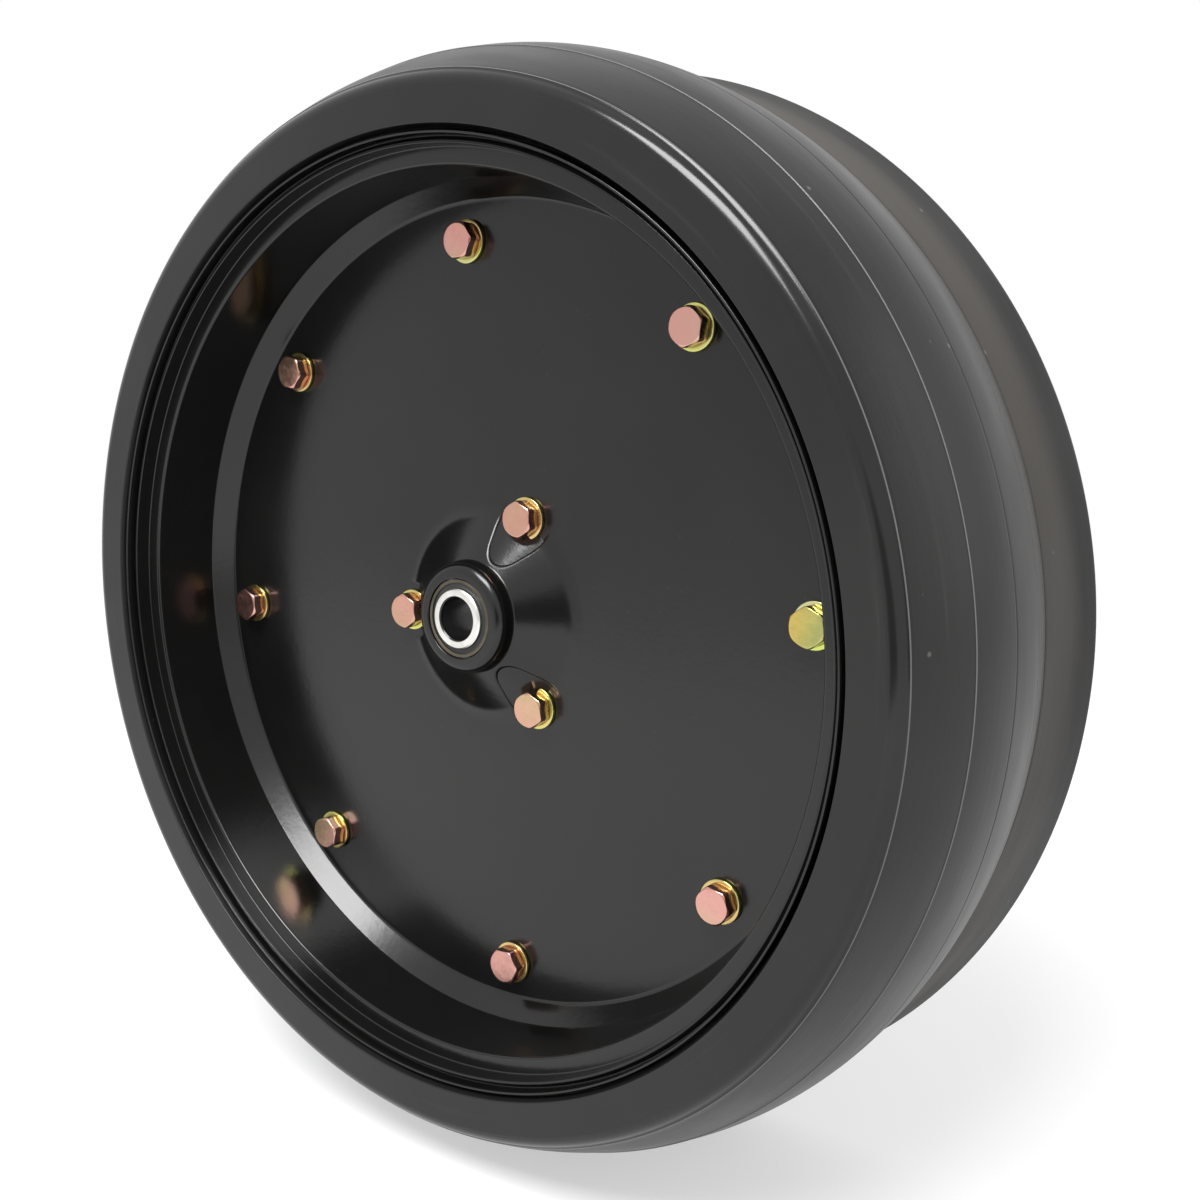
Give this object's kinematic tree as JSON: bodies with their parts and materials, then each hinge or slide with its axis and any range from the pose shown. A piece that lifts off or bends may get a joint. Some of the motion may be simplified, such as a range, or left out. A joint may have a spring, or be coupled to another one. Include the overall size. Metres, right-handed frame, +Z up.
{
  "type": "gauge wheel",
  "caption": "Planter gauge wheel: a semi-pneumatic tyre with a flared lip, clamped between dished steel halves bolted back to back round a sealed bearing.",
  "frame": {"origin": "middle of the hub bore, on the axle", "axes": "+Y along the axle towards the back with the flared lip, -Y towards the dished front with the bolt heads, +Z up with the wheel upright, +X to the right seen from the front"},
  "size_m": [0.4064, 0.1143, 0.4064],
  "materials": {
    "tyre": "black moulded rubber, satin, with fine mould lines",
    "wheel_paint": "smooth satin black powder coat on stamped steel",
    "yellow_zinc": "yellow zinc plating with pink and green tints",
    "bearing_steel": "ground bearing steel",
    "shield_steel": "dark oiled steel",
    "seal_rubber": "black nitrile rubber",
    "cage_plastic": "natural nylon"
  },
  "bodies": {
    "hub_core": {"bearing_inner_ring": "bearing_steel"},
    "ball_set": {"front_balls": "bearing_steel", "rear_balls": "bearing_steel", "front_cage": "cage_plastic", "rear_cage": "cage_plastic"},
    "wheel": {"tyre": "tyre", "front_half": "wheel_paint", "rear_half": "wheel_paint", "rim_bolts": "yellow_zinc", "rim_washers": "yellow_zinc", "rim_nuts": "yellow_zinc", "hub_bolts": "yellow_zinc", "hub_washers": "yellow_zinc", "hub_nuts": "yellow_zinc", "bearing_outer_ring": "bearing_steel", "front_seal": "seal_rubber", "rear_seal": "seal_rubber", "front_shield": "shield_steel", "rear_shield": "shield_steel"}
  },
  "joints": [
    {"name": "wheel_spin", "type": "hinge", "parent": "hub_core", "child": "wheel", "pos_m": [0, 0, 0], "axis": [0, 1, 0], "continuous": true},
    {"name": "ball_orbit", "type": "hinge", "parent": "hub_core", "child": "ball_set", "pos_m": [0, 0, 0], "axis": [0, 1, 0], "continuous": true}
  ],
  "couplings": [
    {"joint": "ball_orbit", "follows": "wheel_spin", "ratio": 0.5916}
  ]
}
